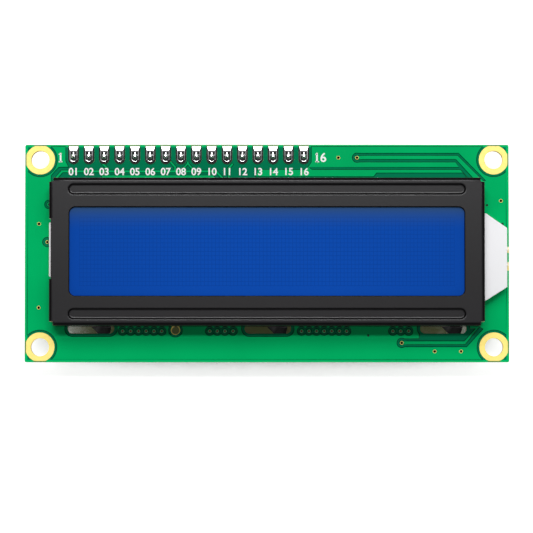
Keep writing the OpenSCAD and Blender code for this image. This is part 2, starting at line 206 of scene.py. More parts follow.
class Shader:
    """Small helper that adds nodes to one material and links them."""

    def __init__(self, name):
        self.material = bpy.data.materials.new(name)
        self.material.use_nodes = True
        self.tree = self.material.node_tree
        self.tree.nodes.clear()
        self.out = self.tree.nodes.new("ShaderNodeOutputMaterial")
        self.bsdf = self.tree.nodes.new("ShaderNodeBsdfPrincipled")
        self.link(self.bsdf.outputs["BSDF"], self.out.inputs["Surface"])
        self.place = self.tree.nodes.new("ShaderNodeTexCoord").outputs["Object"]

    def link(self, source, target):
        self.tree.links.new(source, target)

    def set(self, **sockets):
        for name, value in sockets.items():
            self.feed(self.bsdf.inputs[name.replace("_", " ")], value)

    def feed(self, socket, value):
        if isinstance(value, bpy.types.NodeSocket):
            self.link(value, socket)
        elif socket.type == "RGBA" and len(value) == 3:
            socket.default_value = (*value, 1)
        else:
            socket.default_value = value

    def noise(self, scale, detail=2.0, rough=0.5, stretch=None):
        node = self.tree.nodes.new("ShaderNodeTexNoise")
        node.inputs["Scale"].default_value = scale
        node.inputs["Detail"].default_value = detail
        node.inputs["Roughness"].default_value = rough
        place = self.place
        if stretch:
            mapping = self.tree.nodes.new("ShaderNodeMapping")
            mapping.inputs["Scale"].default_value = stretch
            self.link(place, mapping.inputs["Vector"])
            place = mapping.outputs["Vector"]
        self.link(place, node.inputs["Vector"])
        return node.outputs["Fac"]

    def spread(self, value, low, high, to_low=0.0, to_high=1.0):
        node = self.tree.nodes.new("ShaderNodeMapRange")
        for socket, number in zip(node.inputs[:5], (value, low, high, to_low, to_high)):
            self.feed(socket, number)
        return node.outputs["Result"]

    def math(self, operation, a, b=0.0):
        node = self.tree.nodes.new("ShaderNodeMath")
        node.operation = operation
        self.feed(node.inputs[0], a)
        self.feed(node.inputs[1], b)
        return node.outputs[0]

    def mix(self, amount, a, b):
        node = self.tree.nodes.new("ShaderNodeMix")
        node.data_type = "RGBA"
        self.feed(node.inputs["Factor"], amount)
        self.feed(node.inputs[6], a)
        self.feed(node.inputs[7], b)
        return node.outputs[2]

    def axes(self, source=None):
        node = self.tree.nodes.new("ShaderNodeSeparateXYZ")
        self.link(source or self.place, node.inputs[0])
        return node.outputs

    def facing(self):
        """The parts of the surface's own direction."""
        return self.axes(self.tree.nodes.new("ShaderNodeNewGeometry").outputs["True Normal"])

    def bump(self, height, strength, distance):
        node = self.tree.nodes.new("ShaderNodeBump")
        node.inputs["Strength"].default_value = strength
        node.inputs["Distance"].default_value = distance
        self.link(height, node.inputs["Height"])
        self.link(node.outputs["Normal"], self.bsdf.inputs["Normal"])


def tinted(base, factor):
    return tuple(min(1.0, channel * factor) for channel in base)


def plain_finish(name, base, rough, scale, vary=0.12, bump=0.1, depth=2e-5, **sockets):
    """A colour that drifts with a fine grain, for moulded, cast and plated surfaces."""
    s = Shader(name)
    drift = s.noise(scale * 0.2, 3)
    grain = s.noise(scale, 4, 0.6)
    s.set(Base_Color=s.mix(drift, tinted(base, 1 - vary), tinted(base, 1 + vary)),
          Roughness=s.spread(grain, 0.3, 0.7, max(0.02, rough - 0.06), min(1, rough + 0.06)),
          **sockets)
    s.bump(grain, bump, depth)
    return s.material


def mask_finish(c, over_copper):
    """Green solder mask: bright on copper, deep on bare laminate, with painted shade at copper
    edges.
    """
    s = Shader("mask_on_copper" if over_copper else "mask_on_laminate")
    base = c.mask if over_copper else c.mask_bare
    drift = s.noise(90, 3)
    tone = s.mix(s.spread(drift, 0.3, 0.7), tinted(base, 0.95), tinted(base, 1.05))
    up = s.math("ABSOLUTE", s.facing()[2])
    if over_copper:
        # Painted shade: the sloping mask at each copper edge takes the dark edge shade colour.
        flat = s.spread(up, 0.955, 0.99)
        tone = s.mix(flat, tuple(c.edge_shade), tone)
    else:
        # A painted highlight brightens the board's outer rim, where its edge catches the light.
        x, y = s.axes()[:2]
        rim_x = s.spread(s.math("ABSOLUTE", x), *BRIGHT_RIM_X)
        rim_y = s.spread(s.math("ABSOLUTE", y), *BRIGHT_RIM_Y)
        rim = s.math("MAXIMUM", rim_x, rim_y)
        tone = s.mix(rim, tone, tinted(c.mask, 1.12))
        # Sawn side of the laminate, with its glass cloth in layers.
        layers = s.noise(60, 4, 0.6, stretch=(1, 1, 90))
        side = s.mix(layers, (0.30, 0.36, 0.13), (0.55, 0.58, 0.30))
        tone = s.mix(s.spread(up, 0.5, 0.8), side, tone)
    grain = s.noise(2600, 3, 0.6)
    s.set(Base_Color=tone, Roughness=s.spread(grain, 0.3, 0.7, 0.05, 0.08), IOR=1.5,
          Specular_IOR_Level=0.2)
    return s.material


def plated_finish(name, base, rough, metal=1.0):
    """Dull metal with a fine grain."""
    s = Shader(name)
    grain = s.noise(3200, 5, 0.65)
    drift = s.noise(420, 3)
    s.set(Base_Color=s.mix(drift, tinted(base, 0.93), tinted(base, 1.03)), Metallic=metal,
          Roughness=s.spread(grain, 0.3, 0.7, rough - 0.07, rough + 0.07))
    s.bump(grain, 0.18, 1.2e-5)
    return s.material


def solder_finish(c):
    """Bright solder, faintly rippled, that mirrors what is round it."""
    s = Shader("bright_solder")
    ripple = s.noise(420, 2, 0.4)
    frost = s.noise(5200, 3, 0.5)
    s.set(Base_Color=s.mix(ripple, tinted(c.solder, 0.85), tinted(c.solder, 1.05)), Metallic=1.0,
          Roughness=s.spread(frost, 0.3, 0.75, 0.015, 0.035))
    s.bump(ripple, 0.1, 1e-5)
    return s.material


def pin_finish(c):
    """Square pins: bright where the solder has run up them, pale gold elsewhere."""
    s = Shader("pin_plating")
    grain = s.noise(2600, 3, 0.6)
    tinned = s.spread(s.axes()[2], 1.2 * MM, 1.7 * MM)
    s.set(Base_Color=s.mix(tinned, (0.9, 0.72, 0.4), tuple(c.solder)), Metallic=1.0,
          Roughness=s.spread(grain, 0.3, 0.7, 0.025, 0.045))
    s.bump(grain, 0.05, 1e-6)
    return s.material


def paint_finish(c):
    """Satin black paint with the fine orange peel of a sprayed coat."""
    s = Shader("satin_black_paint")
    grain = s.noise(5200, 4, 0.7)
    drift = s.noise(120, 3)
    tone = s.mix(drift, tinted(c.paint, 0.93), tinted(c.paint, 1.08))
    # Painted shade: the steep sides of the folds and channels get a much darker colour and a weaker
    # shine than the flat face.
    level = s.math("ABSOLUTE", s.facing()[2])
    flat = s.spread(level, 0.9, 0.99)
    shine = s.spread(level, 0.75, 0.95, 0.02, 0.13)
    s.set(Base_Color=s.mix(flat, tinted(c.paint, 0.12), tone),
          Roughness=s.spread(grain, 0.3, 0.7, 0.20, 0.24), IOR=1.48, Specular_IOR_Level=shine)
    s.bump(grain, 0.1, 6e-6)
    return s.material


def film_finish(c, sizes):
    """Blue film with the faint grid of the dots below it."""
    s = Shader("blue_display_film")
    x, y = s.axes()[:2]
    lines = None
    for axis, pitch, count in ((x, sizes.dot_pitch_x, DOT_COLUMNS),
                               (y, sizes.dot_pitch_y, DOT_ROWS)):
        start = 0.5 * (count % 2) + 100
        cell = s.math("FRACT", s.math("ADD", s.math("DIVIDE", axis, pitch), start))
        line = s.spread(s.math("ABSOLUTE", s.math("SUBTRACT", cell, 0.5)), 0.41, 0.47)
        lines = line if lines is None else s.math("MAXIMUM", lines, line)
    inside_x = s.spread(s.math("ABSOLUTE", x), *DOT_FIELD_END_X, 1, 0)
    inside_y = s.spread(s.math("ABSOLUTE", y), *DOT_FIELD_END_Y, 1, 0)
    lines = s.math("MULTIPLY", lines, s.math("MULTIPLY", inside_x, inside_y))
    drift = s.noise(45, 2)
    tone = s.mix(drift, tinted(c.film, 0.95), tinted(c.film, 1.05))
    # Painted shade darkens the film towards both ends of the window.
    ends = s.spread(s.math("ABSOLUTE", x), 12 * MM, 34 * MM)
    tone = s.mix(s.math("MULTIPLY", ends, 0.25), tone, tinted(c.film, 0.55))
    tone = s.mix(s.math("MULTIPLY", lines, 0.55), tone, tinted(c.film, 0.6))
    # A painted reflection greys the film towards its upper edge.
    upper = s.math("POWER", s.spread(y, 3.2 * MM, 7.25 * MM), 2)
    tone = s.mix(upper, tone, (0.03, 0.08, 0.19))
    haze = s.noise(1800, 3)
    s.set(Base_Color=tone, Roughness=s.spread(haze, 0.3, 0.7, 0.05, 0.08), IOR=1.49,
          Specular_IOR_Level=0.2)
    return s.material


def strip_finish():
    """Rubber connector: thin conducting layers between insulating ones."""
    s = Shader("layered_elastomer")
    x, y = s.axes()[:2]
    layer = s.math("FRACT", s.math("DIVIDE", s.math("ADD", x, 1.0), LAYER_PITCH))
    dark = s.spread(s.math("ABSOLUTE", s.math("SUBTRACT", layer, 0.5)), 0.2, 0.28)
    core = s.spread(s.math("ABSOLUTE", s.math("SUBTRACT", s.math("ABSOLUTE", y), STRIP_Y)),
                    *CORE_HALF, 1, 0)
    s.set(Base_Color=s.mix(s.math("MULTIPLY", dark, core), (0.75, 0.45, 0.42), (0.03, 0.03, 0.03)),
          Roughness=s.spread(s.noise(2000, 3), 0.3, 0.7, 0.55, 0.75))
    return s.material


def clear_finish(name, base, rough):
    """Clear glass or plastic with a faint tint."""
    s = Shader(name)
    film = s.noise(300, 2)
    s.set(Base_Color=s.mix(film, tinted(base, 0.97), base), IOR=1.5,
          Roughness=s.spread(film, 0.3, 0.7, rough, rough + 0.04))
    s.bsdf.inputs["Transmission Weight"].default_value = 0.9
    return s.material


class Finishes:
    """Every material of the module, made once and shared."""

    def __init__(self, sizes, c):
        self.mask = mask_finish(c, over_copper=True)
        self.laminate = mask_finish(c, over_copper=False)
        self.gold = plated_finish("gold_plating", c.gold, 0.55, 0.35)
        self.pin = pin_finish(c)
        self.tin = plated_finish("tinned_metal", c.solder, 0.3)
        self.lead = plated_finish("dull_tinned_lead", (0.5, 0.46, 0.36), 0.45)
        self.solder = solder_finish(c)
        self.paint = paint_finish(c)
        self.cut = plated_finish("cut_steel_edge", (0.4, 0.34, 0.28), 0.42)
        self.film = film_finish(c, sizes)
        self.ink = plain_finish("white_ink", c.ink, 0.6, 2500, 0.04, 0.2, 2e-5)
        self.white = plain_finish("white_backlight_plastic", c.white, 0.42, 1400, 0.02, 0.08, 2e-5,
                                  Specular_IOR_Level=0.2)
        self.black = plain_finish("black_header_plastic", (0.018, 0.018, 0.018), 0.5, 1800, 0.2,
                                  0.25)
        self.resin = plain_finish("black_potting_resin", c.resin, 0.2, 300, 0.2, 0.3, 8e-5)
        self.glass = clear_finish("display_glass", (0.86, 0.93, 0.93), 0.03)
        self.acrylic = clear_finish("clear_acrylic", (0.93, 0.96, 0.97), 0.08)
        self.seal = plain_finish("cell_seal_resin", (0.55, 0.54, 0.48), 0.6, 1500)
        self.crystal = plain_finish("liquid_crystal_blue", (0.05, 0.12, 0.4), 0.3, 900, 0.05)
        self.rear_film = plain_finish("rear_film_grey", (0.16, 0.19, 0.25), 0.3, 1200, 0.06)
        self.diffuser = plain_finish("diffuser_white", (0.88, 0.88, 0.88), 0.7, 2200, 0.03)
        self.led = plain_finish("led_yellow_resin", (0.85, 0.68, 0.12), 0.4, 900, 0.08)
        self.strip = strip_finish()
        self.resistor = plain_finish("resistor_coat", (0.02, 0.02, 0.022), 0.35, 1600, 0.25)
        self.capacitor = plain_finish("capacitor_ceramic", (0.36, 0.25, 0.15), 0.5, 1500, 0.12)
        self.tie = plain_finish("mask_on_gold", (0.09, 0.22, 0.02), 0.35, 1800, 0.15)
        self.dimple = plain_finish("covered_hole", (0.16, 0.055, 0.01), 0.5, 5200, 0.3)
        self.rim = plain_finish("covered_rim", (0.13, 0.42, 0.22), 0.4, 5200, 0.3)
        # Painted shade: a near-black disc sits in each open via and stands in for the shade in its
        # hole.
        self.hole = plain_finish("dark_hole", (0.005, 0.002, 0.001), 0.7, 5200, 0.3,
                                 Specular_IOR_Level=0.05)
        self.sunk = plain_finish("sunk_mask", (0.0, 0.03, 0.022), 0.4, 5200, 0.3,
                                 Specular_IOR_Level=0.1)


_finishes = []


def finishes():
    """The module's finishes, made from the colours in the settings at the first call."""
    if not _finishes:
        scene = bpy.context.scene
        _finishes.append(Finishes(scene.module_sizes, scene.module_colours))
    return _finishes[0]


# ---- shapes --------------------------------------------------------------

def place_piece(bm, name, materials, replaces=(), smooth=None):
    """Turns a finished bmesh into a piece that rides on the module."""
    mesh = bpy.data.meshes.new(name)
    bm.to_mesh(mesh)
    bm.free()
    for material in materials:
        mesh.materials.append(material)
    if smooth is not None:
        mesh.shade_smooth()
        mesh.set_sharp_from_angle(angle=math.radians(smooth))
    piece = bpy.data.objects.new(name, mesh)
    bpy.context.scene.collection.objects.link(piece)
    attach(piece, BODY)
    if replaces:
        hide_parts(*replaces)
    return piece


def ring(bm, size, z, radius, per_corner=6, centre=(0, 0)):
    """A rounded rectangle of edges: a circle whose quarters are moved apart."""
    turn = Matrix.Rotation(math.pi / (4 * per_corner), 4, "Z")
    verts = bmesh.ops.create_circle(
        bm, cap_ends=False, radius=radius, segments=4 * per_corner, matrix=turn)["verts"]
    for v in verts:
        v.co.x += math.copysign(size[0] / 2 - radius, v.co.x) + centre[0]
        v.co.y += math.copysign(size[1] / 2 - radius, v.co.y) + centre[1]
        v.co.z = z
    return list({e for v in verts for e in v.link_edges})


def bridge(bm, a, b):
    bmesh.ops.bridge_loops(bm, edges=a + b)


def extrude(bm, edges):
    """Pulls a copy of the edges; the caller moves it. Returns (edges, verts)."""
    geom = bmesh.ops.extrude_edge_only(bm, edges=edges)["geom"]
    verts = [g for g in geom if isinstance(g, bmesh.types.BMVert)]
    fresh = set(verts)
    made = [g for g in geom if isinstance(g, bmesh.types.BMEdge)
            and g.verts[0] in fresh and g.verts[1] in fresh]
    return made, verts


def merged_copy(node):
    """A bmesh of a solid's surface with its loose triangles joined."""
    bm = bmesh.new()
    bm.from_mesh(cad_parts[node].data)
    bmesh.ops.remove_doubles(bm, verts=bm.verts[:], dist=2e-6)
    bmesh.ops.dissolve_limit(
        bm, angle_limit=math.radians(1), use_dissolve_boundaries=False,
        verts=bm.verts[:], edges=bm.edges[:])
    return bm


def round_edges(bm, width, segments=2, sharper=40):
    """Bevels every edge that turns more than the given angle."""
    limit = math.radians(sharper)
    edges = [e for e in bm.edges if len(e.link_faces) == 2 and e.calc_face_angle(0) > limit]
    bmesh.ops.bevel(
        bm, geom=edges, offset=width, offset_type="OFFSET", segments=segments,
        profile=0.5, affect="EDGES", clamp_overlap=True, material=-1)


def spun(bm, profile, centre, steps):
    """Turns a short profile of (radius, height) about a vertical axis."""
    verts = [bm.verts.new((centre[0] + r, centre[1], z)) for r, z in profile]
    edges = [bm.edges.new((a, b)) for a, b in zip(verts, verts[1:])]
    bmesh.ops.spin(
        bm, geom=verts + edges, cent=(*centre, 0), axis=(0, 0, 1), angle=2 * math.pi, steps=steps,
        use_merge=True, use_normal_flip=False, use_duplicate=False)


def close_and_orient(bm):
    """Joins the seams of turned or gridded shapes and points every face outward."""
    bmesh.ops.remove_doubles(bm, verts=bm.verts[:], dist=1e-7)
    bmesh.ops.recalc_face_normals(bm, faces=bm.faces[:])


# ---- bezel ---------------------------------------------------------------

def face_outline(bm, flat_x, flat_y):
    """The flat's outline, with a corner wherever a fold or a tab begins."""
    gap = CORNER_GAP
    tabs = [x + TAB_W * (k / 4 - 0.5) for x in TAB_X for k in range(5)]
    long_side = [-flat_x, -flat_x + gap] + tabs + [flat_x - gap, flat_x]
    right = [-flat_y + gap, RIGHT_NOTCH[0], RIGHT_NOTCH[1], flat_y - gap]
    left = [flat_y - gap, LEFT_NOTCH[1], LEFT_NOTCH[0], -flat_y + gap]
    points = [(x, -flat_y) for x in long_side]
    points += [(flat_x, y) for y in right]
    points += [(x, flat_y) for x in reversed(long_side)]
    points += [(-flat_x, y) for y in left]
    verts = [bm.verts.new((x, y, FACE_Z)) for x, y in points]
    return [bm.edges.new((a, b)) for a, b in zip(verts, verts[1:] + verts[:1])]


def on_side(edges, axis, value):
    """The edges that lie along one side of the flat."""
    return [e for e in edges if all(abs(v.co[axis] - value) < 1e-7 for v in e.verts)]


def between(edges, axis, low, high):
    """The edges that lie within a stretch of the given axis."""
    return [e for e in edges
            if all(low - 1e-6 < v.co[axis] < high + 1e-6 for v in e.verts)]


def fold(bm, edges, centre, axis, sign, steps=12):
    """Carries edges round a quarter turn and returns the last ones."""
    turn = Matrix.Rotation(sign * math.pi / 2 / steps, 3, axis)
    for _ in range(steps):
        edges, verts = extrude(bm, edges)
        bmesh.ops.rotate(bm, verts=verts, cent=centre, matrix=turn)
    return edges


def drop(bm, edges, z):
    """Carries edges straight down to a height and returns the new ones."""
    edges, verts = extrude(bm, edges)
    for v in verts:
        v.co.z = z
    return edges


def twisted_tab(bm, edges, x, wall_y, turn, steps=12):
    """Carries a wall's edge through its slot and twists it behind the board."""
    edges = drop(bm, edges, SLOT_DEPTH)
    step = Matrix.Rotation(turn / steps, 3, "Z")
    for _ in range(steps):
        edges, verts = extrude(bm, edges)
        bmesh.ops.translate(bm, verts=verts, vec=(0, 0, -TAB_FALL / steps))
        bmesh.ops.rotate(bm, verts=verts, cent=(x, wall_y, 0), matrix=step)


def pressed_channel(bm, y, depth):
    """Presses a channel's walls and floor below the face and returns its rim."""
    # Distance in from the rim, in millimetres, and share of the full depth there.
    steps = [(0.0, 0.0), (0.05, 0.006), (0.11, 0.03), (0.17, 0.075), (0.21, 0.15), (0.24, 0.29),
             (0.27, 0.5), (0.3, 0.71), (0.34, 0.87), (0.4, 0.95), (0.48, 0.985), (0.56, 1.0)]
    first = last = None
    for inset, share in steps:
        size = tuple((side - 2 * inset) * MM for side in CHANNEL_SIZE)
        edges = ring(bm, size, FACE_Z - depth * share, size[1] / 2 - 1e-7, 5, (0, y))
        if last:
            bridge(bm, last, edges)
        else:
            first = edges
        last = edges
    bmesh.ops.edgeloop_fill(bm, edges=last)
    return first


def window_edge(bm, sizes):
    """The window's rim, with the rounded shoulder that the punch leaves."""
    # Growth past the opening and fall below the face, in millimetres.
    shoulder = [(0.16, 0), (0.11, 0.015), (0.06, 0.05), (0.02, 0.1), (0, 0.16)]
    first = last = None
    for grow, fall in shoulder:
        edges = ring(bm, (sizes.window_length + 2 * grow * MM, sizes.window_width + 2 * grow * MM),
                     FACE_Z - fall * MM, sizes.window_radius + grow * MM)
        if last:
            bridge(bm, last, edges)
        else:
            first = edges
        last = edges
    return first


def build_bezel(sizes):
    """One flat sheet with its window and channels, whose edges are folded down as walls."""
    bm = bmesh.new()
    flat_x, flat_y = BEZEL_HALF[0] - FOLD_R, BEZEL_HALF[1] - FOLD_R
    low = FACE_Z - FOLD_R
    outline = face_outline(bm, flat_x, flat_y)
    window = window_edge(bm, sizes)
    channels = []
    for side in (-1, 1):
        channels += pressed_channel(bm, side * CHANNEL_Y, sizes.press)
    bmesh.ops.triangle_fill(bm, use_beauty=True, edges=outline + window + channels)

    for side in (-1, 1):
        edges = on_side(outline, 1, side * flat_y)
        edges = between(edges, 0, -flat_x + CORNER_GAP, flat_x - CORNER_GAP)
        edges = fold(bm, edges, (0, side * flat_y, low), "X", -side)
        edges = drop(bm, edges, STAND_Z)
        for x in TAB_X:
            tab = between(edges, 0, x - TAB_W / 2, x + TAB_W / 2)
            middle = side * (BEZEL_HALF[1] - sizes.sheet / 2)
            twisted_tab(bm, tab, x, middle, side * sizes.twist)

    right = between(on_side(outline, 0, flat_x), 1, -flat_y + CORNER_GAP, flat_y - CORNER_GAP)
    right = fold(bm, right, (flat_x, 0, low), "Y", 1)
    right = drop(bm, right, HOUSING_TOP + NOTCH_CLEARANCE)
    inside = between(right, 1, *RIGHT_NOTCH)
    drop(bm, [e for e in right if e not in inside], STAND_Z)

    left = between(on_side(outline, 0, -flat_x), 1, -flat_y + CORNER_GAP, flat_y - CORNER_GAP)
    inside = between(left, 1, *LEFT_NOTCH)
    folded = fold(bm, [e for e in left if e not in inside], (-flat_x, 0, low), "Y", -1)
    drop(bm, folded, STAND_Z)
    _, verts = extrude(bm, inside)
    bmesh.ops.translate(bm, verts=verts, vec=(-TONGUE_REACH, 0, 0))

    bmesh.ops.remove_doubles(bm, verts=bm.verts[:], dist=1e-7)
    bmesh.ops.recalc_face_normals(bm, faces=bm.faces[:])
    flat = max(bm.faces, key=lambda f: f.calc_area() * (f.calc_center_median().z > FACE_Z - 1e-6))
    if flat.normal.z < 0:
        bmesh.ops.reverse_faces(bm, faces=bm.faces[:])
    for face in bm.faces:
        face.smooth = abs(face.normal.z) < 0.9999
    f = finishes()
    piece = place_piece(bm, "folded_bezel", [f.paint, f.cut], ["metal_bezel"])
    thick = piece.modifiers.new("sheet", "SOLIDIFY")
    thick.thickness = sizes.sheet
    thick.offset = -1
    thick.use_even_offset = True
    thick.material_offset_rim = 1
    soft = piece.modifiers.new("soft_edges", "BEVEL")
    soft.width = 0.05 * MM
    soft.segments = 2
    soft.limit_method = "ANGLE"
    soft.angle_limit = math.radians(50)
    return piece


# ---- circuit board -------------------------------------------------------

def build_copper(sizes):
    """The masked copper, with the mask sloping down to the laminate at every edge."""
    bm = bmesh.new()
    bm.from_mesh(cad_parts["top_copper_layer"].data)
    bmesh.ops.remove_doubles(bm, verts=bm.verts[:], dist=2e-6)
    moves = {}
    for v in bm.verts:
        if v.co.z > BOARD_T + 0.5 * SKIN_T:
            continue
        sides = [f.normal.copy() for f in v.link_faces if abs(f.normal.z) < 0.1]
        if not sides:
            continue
        way = sum(sides, Vector()).normalized()
        reach = sizes.mask_slope / max(0.5, max(way.dot(n) for n in sides))
        moves[v] = way * reach + Vector((0, 0, -0.2 * SKIN_T))
    for v, move in moves.items():
        v.co += move
    return place_piece(bm, "masked_copper", [finishes().mask],
                       ["top_copper_layer"])


def build_gold_rings():
    """Plating of the mounting holes: a ring on each side and the lining between them."""
    soft = 0.015 * MM
    profile = [(HOLE_R, -SKIN_T), (HOLE_R, STAND_Z - soft), (HOLE_R + soft, STAND_Z),
               (RING_R - soft, STAND_Z), (RING_R, STAND_Z - soft), (RING_R, BOARD_T),
               (LINING_R, BOARD_T), (LINING_R, 0), (RING_R, 0), (RING_R, -SKIN_T),
               (HOLE_R, -SKIN_T)]
    bm = bmesh.new()
    for hole_at in HOLES:
        spun(bm, profile, hole_at, 64)
    # The rings are cut flat beside the board's edges.
    far_x, far_y = (abs(d) + RING_FLAT for d in HOLES[0])
    for v in bm.verts:
        v.co.x = max(-far_x, min(far_x, v.co.x))
        v.co.y = max(-far_y, min(far_y, v.co.y))
    close_and_orient(bm)
    return place_piece(bm, "gold_rings", [finishes().gold],
                       ["mounting_hole_plating"], 30)


def build_tie_strips():
    """Thin masked copper that joins each ring and pad to the board's edge."""
    bm = bmesh.new()
    spots = []
    for x, y in HOLES:
        sx, sy = math.copysign(1, x), math.copysign(1, y)
        spots.append((x, sy * RING_TIE_AT[1], *RING_TIE))
        spots.append((sx * RING_TIE_AT[0], y, *reversed(RING_TIE)))
    spots += [(x, PAD_TIE_Y, *PAD_TIE) for x in PIN_X]
    for x, y, w, h in spots:
        at = Matrix.LocRotScale((x, y, BOARD_T + TIE_T / 2), None, (w, h, TIE_T))
        bmesh.ops.create_cube(bm, size=1, matrix=at)
    round_edges(bm, 0.01 * MM, 1)
    return place_piece(bm, "tie_strips", [finishes().tie])


def build_vias():
    """Shallow turned shapes on the mask wherever a via lies."""
    f = finishes()
    for name, spots, profile, steps, material, slot in (
            ("covered_via_dimples", COVERED_VIAS, DIMPLE, 12, f.dimple, "masked_copper"),
            ("covered_via_rims", COVERED_VIAS, DIMPLE_RIM, 12, f.rim, "masked_copper"),
            ("sunk_via_dimples", SUNK_VIAS, SUNK_DIMPLE, 16, f.sunk, "masked_copper"),
            ("open_via_rims", OPEN_VIAS, VIA_RIM, 16, f.gold, "gold_plating"),
            ("open_via_shade_discs", OPEN_VIAS, VIA_SHADE_DISC, 16, f.hole, "masked_copper")):
        bm = bmesh.new()
        outline = [(r * MM, STAND_Z + h * MM) for r, h in profile]
        for spot in spots:
            spun(bm, outline, spot, steps)
        close_and_orient(bm)
        place_piece(bm, name, [material], (), 30)


# ---- header --------------------------------------------------------------

# The solder's surface is a grid. COLUMNS are its lines from the joint's middle outwards and
# ROWS its lines from the board's edge inwards, both measured from the pin in millimetres.
# BOWL and TAIL give the height at each column, round the pin and on the flat tail.
COLUMNS = [0, 0.05, 0.09, 0.2, 0.27, 0.46, 0.5, 0.54, 0.57, 0.61, 0.87, 0.9, 0.9]
BOWL = [0.25, 0.25, 0.25, 0.25, 0.25, 0.293, 0.29, 0.27, 0.14, 0.11, 0.1, 0.06, 0]
TAIL = [0.33, 0.33, 0.33, 0.33, 0.33, 0.33, 0.326, 0.3, 0.14, 0.11, 0.1, 0.06, 0]
ROWS = [1.72, 1.68, 1.5, 1.35, 1.2, 1.1, 1.0, 0.94, 0.78, 0.74, 0.56, 0.42, 0.34, 0.1, -0.1, -0.35]
TURNS = 16                             # rows round the half circle that ends the joint
CREST = 5                              # the column along the bowl's crest
CREST_END = 8                          # the first column outside the crest
LEAN = 0.03                            # largest shift of the middle to one side
TAIL_START, TAIL_SPREAD, TAIL_FALL = 1.0, 0.4, 0.2
WEB_ROWS, WEB_COLUMNS = (0.33, 0.76), 2    # solder drawn up the pin's outer side
WEB_HEIGHT, WEB_SLOPE, WEB_FOOT = 0.29, 0.2, 0.8


def joint_point(line, column, lean):
    """Where a line across the joint meets a line along it, in millimetres from the pin."""
    reach = COLUMNS[column]
    shift = lean * LEAN * max(0, 1 - 2 * reach)
    if len(ROWS) <= line < len(ROWS) + TURNS - 1:
        angle = math.pi * (line - len(ROWS) + 1) / TURNS
        return (reach * math.cos(angle) + shift, ROWS[-1] - reach * math.sin(angle), BOWL[column])
    right = line < len(ROWS)
    y = ROWS[line] if right else ROWS[2 * len(ROWS) + TURNS - 2 - line]
    past = max(0, y - TAIL_START)
    crest = COLUMNS[CREST]
    edge = crest + TAIL_SPREAD * past
    if reach <= crest:
        x = reach * edge / crest
    else:
        x = edge + (reach - crest) / (COLUMNS[-1] - crest) * (COLUMNS[-1] - edge)
    if y == ROWS[0]:
        z = 0
    elif y >= TAIL_START:
        z = TAIL[column] - TAIL_FALL * past * (column < CREST_END)
    elif WEB_ROWS[0] < y < WEB_ROWS[1] and column < WEB_COLUMNS:
        z = WEB_HEIGHT + WEB_SLOPE * (WEB_FOOT - y)
    else:
        z = BOWL[column]
    return (x if right else -x) + shift, y, z


def solder_joint(bm, x, lean):
    """Solder that wets its pad, bulges round the pin and thins out towards the edge."""
    across, along = len(COLUMNS) - 1, 2 * len(ROWS) + TURNS - 2
    verts = bmesh.ops.create_grid(bm, x_segments=across, y_segments=along, size=0.5)["verts"]
    for v in verts:
        column = round((v.co.x + 0.5) * across)
        line = round((v.co.y + 0.5) * along)
        px, py, pz = joint_point(line, column, lean)
        v.co = Vector((x + px * MM, PIN_Y + py * MM, STAND_Z + pz * MM))
    bmesh.ops.remove_doubles(bm, verts=verts, dist=1e-7)
    rim = [e for e in bm.edges if e.is_boundary]
    bmesh.ops.edgeloop_fill(bm, edges=rim)


def build_solder():
    """Sixteen joints, no two of them alike."""
    bm = bmesh.new()
    for i, x in enumerate(PIN_X):
        solder_joint(bm, x, math.sin(i * 2.3))
    close_and_orient(bm)
    return place_piece(bm, "solder_fillets", [finishes().solder],
                       ["header_solder_joints"], 7)


def build_pins():
    """The square pins with their edges softened."""
    bm = merged_copy("header_pins")
    round_edges(bm, 0.03 * MM, 1, 15)
    return place_piece(bm, "square_pins", [finishes().pin], ["header_pins"], 30)


def build_insulator():
    """The block that holds the pins, with its edges softened."""
    bm = merged_copy("header_insulator")
    round_edges(bm, 0.06 * MM, 2, 60)
    return place_piece(bm, "header_block", [finishes().black],
                       ["header_insulator"], 40)


def text_mesh(body, size, centre, z):
    """Printed characters as a flat mesh, centred on a point of the board."""
    curve = bpy.data.curves.new("print", "FONT")
    curve.body = body
    curve.size = size
    curve.offset = INK_BOLD
    curve.align_x = "CENTER"
    curve.extrude = INK_HALF
    holder = bpy.data.objects.new("print", curve)
    bpy.context.scene.collection.objects.link(holder)
    graph = bpy.context.evaluated_depsgraph_get()
    mesh = bpy.data.meshes.new_from_object(holder.evaluated_get(graph))
    ys = [v.co.y for v in mesh.vertices]
    middle = (min(ys) + max(ys)) / 2
    mesh.transform(Matrix.Translation((centre[0], centre[1] - middle, z)))
    bpy.data.objects.remove(holder)
    bpy.data.curves.remove(curve)
    return mesh


def build_numbers(sizes):
    """The number of each pin, and larger ones at both ends of the row."""
    bm = bmesh.new()
    z = STAND_Z + INK_HALF
    size = sizes.number_height * FONT_SCALE
    end_size = size * END_SCALE
    prints = [(f"{i + 1:02d}", size, (x, NUMBERS_Y)) for i, x in enumerate(PIN_X)]
    prints += [(body, end_size, (x, END_NUMBERS_Y)) for body, x in END_NUMBERS]
    for body, height, centre in prints:
        mesh = text_mesh(body, height, centre, z)
        bm.from_mesh(mesh)
        bpy.data.meshes.remove(mesh)
    for x in END_ONES_X:
        for dx, dy, w in (ONE_FOOT, ONE_FLAG):
            at = Matrix.LocRotScale((x + dx, END_NUMBERS_Y + dy, z), None, (w, ONE_STROKE, INK_T))
            bmesh.ops.create_cube(bm, size=1, matrix=at)
    bmesh.ops.remove_doubles(bm, verts=bm.verts[:], dist=1e-7)
    return place_piece(bm, "printed_numbers", [finishes().ink])


# ---- backlight -----------------------------------------------------------

def build_housing():
    """The backlight's white body with its edges softened."""
    bm = merged_copy("backlight_housing")
    round_edges(bm, 0.08 * MM, 2, 25)
    return place_piece(bm, "backlight_body", [finishes().white],
                       ["backlight_housing"], 40)


